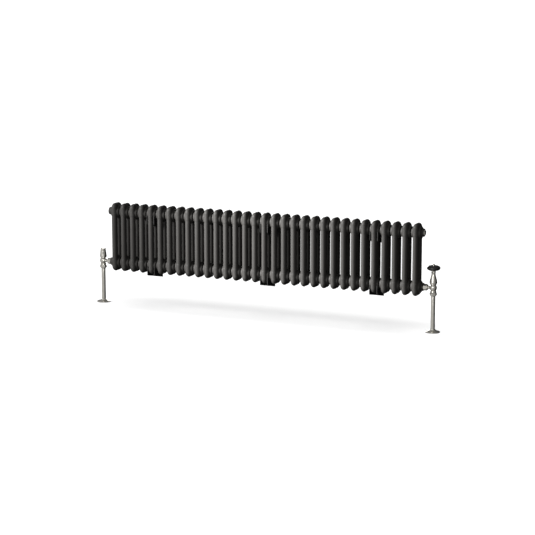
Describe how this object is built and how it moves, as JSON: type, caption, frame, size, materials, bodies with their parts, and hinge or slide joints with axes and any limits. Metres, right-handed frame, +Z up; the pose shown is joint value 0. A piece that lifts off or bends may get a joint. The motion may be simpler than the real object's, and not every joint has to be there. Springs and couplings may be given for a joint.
{
  "type": "column radiator with valves",
  "caption": "Low wall-hung column radiator on wall cradles, with a wheel-head valve at one end, a lockshield valve at the other, and sleeved pipes to the floor.",
  "frame": {"origin": "on the floor, below the centre of the whole object's bounding box", "axes": "+X along the radiator towards the wheel-head valve, +Y towards the wall, +Z up"},
  "size_m": [1.598, 0.086, 0.447],
  "materials": {
    "radiator_paint": "matt anthracite powder coat",
    "cradle_paint": "matt near-black powder coat",
    "satin_nickel": "satin nickel plate on brass",
    "wheel_black": "satin black",
    "brass": "machined",
    "copper": "drawn copper tube"
  },
  "bodies": {
    "radiator": {"section_01": "radiator_paint", "section_02": "radiator_paint", "section_03": "radiator_paint", "section_04": "radiator_paint", "section_05": "radiator_paint", "section_06": "radiator_paint", "section_07": "radiator_paint", "section_08": "radiator_paint", "section_09": "radiator_paint", "section_10": "radiator_paint", "section_11": "radiator_paint", "section_12": "radiator_paint", "section_13": "radiator_paint", "section_14": "radiator_paint", "section_15": "radiator_paint", "section_16": "radiator_paint", "section_17": "radiator_paint", "section_18": "radiator_paint", "section_19": "radiator_paint", "section_20": "radiator_paint", "section_21": "radiator_paint", "section_22": "radiator_paint", "section_23": "radiator_paint", "section_24": "radiator_paint", "section_25": "radiator_paint", "section_26": "radiator_paint", "section_27": "radiator_paint", "section_28": "radiator_paint", "section_29": "radiator_paint", "section_30": "radiator_paint", "section_31": "radiator_paint", "section_32": "radiator_paint", "blanking_plug": "radiator_paint", "wall_cradle_upper_left": "cradle_paint", "wall_cradle_upper_middle": "cradle_paint", "wall_cradle_upper_right": "cradle_paint", "wall_cradle_lower_left": "cradle_paint", "wall_cradle_lower_middle": "cradle_paint", "wall_cradle_lower_right": "cradle_paint", "left_valve_body": "satin_nickel", "left_union_nut": "satin_nickel", "left_compression_nut": "satin_nickel", "left_pipe_sleeve": "satin_nickel", "right_valve_body": "satin_nickel", "right_union_nut": "satin_nickel", "right_compression_nut": "satin_nickel", "right_pipe_sleeve": "satin_nickel", "bonnet": "satin_nickel", "gland_nut": "satin_nickel", "bleed_plug": "satin_nickel", "left_pipe": "copper", "right_pipe": "copper"},
    "wheel": {"handwheel": "wheel_black", "handwheel_cap": "satin_nickel"},
    "spindle": {"valve_spindle": "brass"},
    "lockshield_cap": {"lockshield_cap": "satin_nickel"},
    "lockshield_spindle": {"lockshield_spindle": "brass"},
    "bleed_screw": {"bleed_screw": "brass"},
    "left_floor_plate": {"left_floor_plate": "satin_nickel"},
    "right_floor_plate": {"right_floor_plate": "satin_nickel"}
  },
  "joints": [
    {"name": "spindle_lift", "type": "slide", "parent": "radiator", "child": "spindle", "axis": [0, 0, 1], "range_m": [0, 0.0053]},
    {"name": "wheel_turn", "type": "hinge", "parent": "spindle", "child": "wheel", "pos_m": [0.769, -0.01, 0.27], "axis": [0, 0, 1], "range_deg": [0, 1260]},
    {"name": "lockshield_cap_lift", "type": "slide", "parent": "radiator", "child": "lockshield_cap", "axis": [0, 0, 1], "range_m": [0, 0.045]},
    {"name": "lockshield_spindle_turn", "type": "hinge", "parent": "radiator", "child": "lockshield_spindle", "pos_m": [-0.769, -0.01, 0.22], "axis": [0, 0, 1], "range_deg": [0, 720]},
    {"name": "bleed_screw_turn", "type": "hinge", "parent": "radiator", "child": "bleed_screw", "pos_m": [0.725, -0.01, 0.409], "axis": [1, 0, 0], "range_deg": [0, 360]},
    {"name": "left_floor_plate_slide", "type": "slide", "parent": "radiator", "child": "left_floor_plate", "axis": [0, 0, 1], "range_m": [0, 0.1]},
    {"name": "right_floor_plate_slide", "type": "slide", "parent": "radiator", "child": "right_floor_plate", "axis": [0, 0, 1], "range_m": [0, 0.1]}
  ],
  "couplings": [
    {"joint": "spindle_lift", "follows": "wheel_turn", "m_per_rad": 0.00023873}
  ]
}
